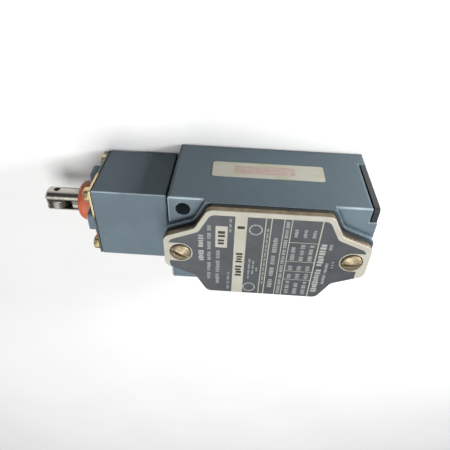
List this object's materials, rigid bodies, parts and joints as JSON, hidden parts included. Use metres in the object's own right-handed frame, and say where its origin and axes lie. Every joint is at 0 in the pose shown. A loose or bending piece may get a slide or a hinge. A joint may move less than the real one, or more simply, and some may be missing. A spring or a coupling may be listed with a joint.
{
  "type": "limit switch",
  "caption": "Oil-tight sealed-contact limit switch with a top-push roller plunger, a sprung travel and a conduit entry opposite the head.",
  "frame": {"origin": "centre of the two mounting holes, on the mounting face", "axes": "+Z out of the cover, -X along the plunger towards its roller, mounting face on z = 0"},
  "size_m": [0.1262, 0.0399, 0.0436],
  "materials": {
    "painted_body": "satin enamel",
    "phenolic_black": "matt",
    "rubber_black": "matt",
    "cover_edge": "passivated, satin",
    "nameplate_print": "printed, satin",
    "yellow_zinc": "yellow-passivated, satin",
    "label_paper": "paper label, matt",
    "silicone_red": "silicone, satin",
    "bronze": "sintered",
    "steel": "ground, polished",
    "glass_capsule": "clear",
    "copper": "satin",
    "nylon": "moulded",
    "ferrite": "matt",
    "green_screw": "dyed, satin"
  },
  "bodies": {
    "housing": {"body_casting": "painted_body", "end_plate": "phenolic_black", "cover_gasket": "rubber_black", "cover_plate": "cover_edge", "nameplate": "nameplate_print", "cover_screws": "yellow_zinc", "side_label": "label_paper", "head_gasket": "rubber_black", "head_casting": "painted_body", "retainer_plate": "yellow_zinc", "end_cap": "painted_body", "head_screws": "yellow_zinc", "wiper_boot": "silicone_red", "plunger_bushing": "bronze", "plunger_seal": "rubber_black", "spring_plate": "steel", "return_spring": "steel", "rod_guide": "bronze", "rod_seal": "rubber_black", "contact_housing": "phenolic_black", "housing_screws": "yellow_zinc", "sealed_contact": "glass_capsule", "contact_straps": "copper", "terminal_clamps": "steel", "terminal_screws": "steel", "ground_screw": "green_screw", "carrier_spring": "steel"},
    "plunger": {"plunger": "steel", "roller_pin": "steel", "retaining_clip": "steel", "spring_washer": "steel"},
    "roller": {"roller": "steel"},
    "carrier": {"drive_rod": "steel", "magnet_carrier": "nylon", "magnet": "ferrite"}
  },
  "joints": [
    {"name": "plunger_slide", "type": "slide", "parent": "housing", "child": "plunger", "axis": [1, 0, 0], "range_m": [0, 0.0052], "stiffness_N_per_m": 800, "springref_m": -0.004, "deforming": ["return_spring", "wiper_boot"]},
    {"name": "roller_spin", "type": "hinge", "parent": "plunger", "child": "roller", "pos_m": [-0.0838, 0, 0.0152], "axis": [0, 1, 0], "continuous": true},
    {"name": "carrier_slide", "type": "slide", "parent": "housing", "child": "carrier", "axis": [1, 0, 0], "range_m": [0, 0.0052], "deforming": ["carrier_spring"]}
  ],
  "couplings": [
    {"joint": "carrier_slide", "follows": "plunger_slide", "ratio": 1}
  ]
}
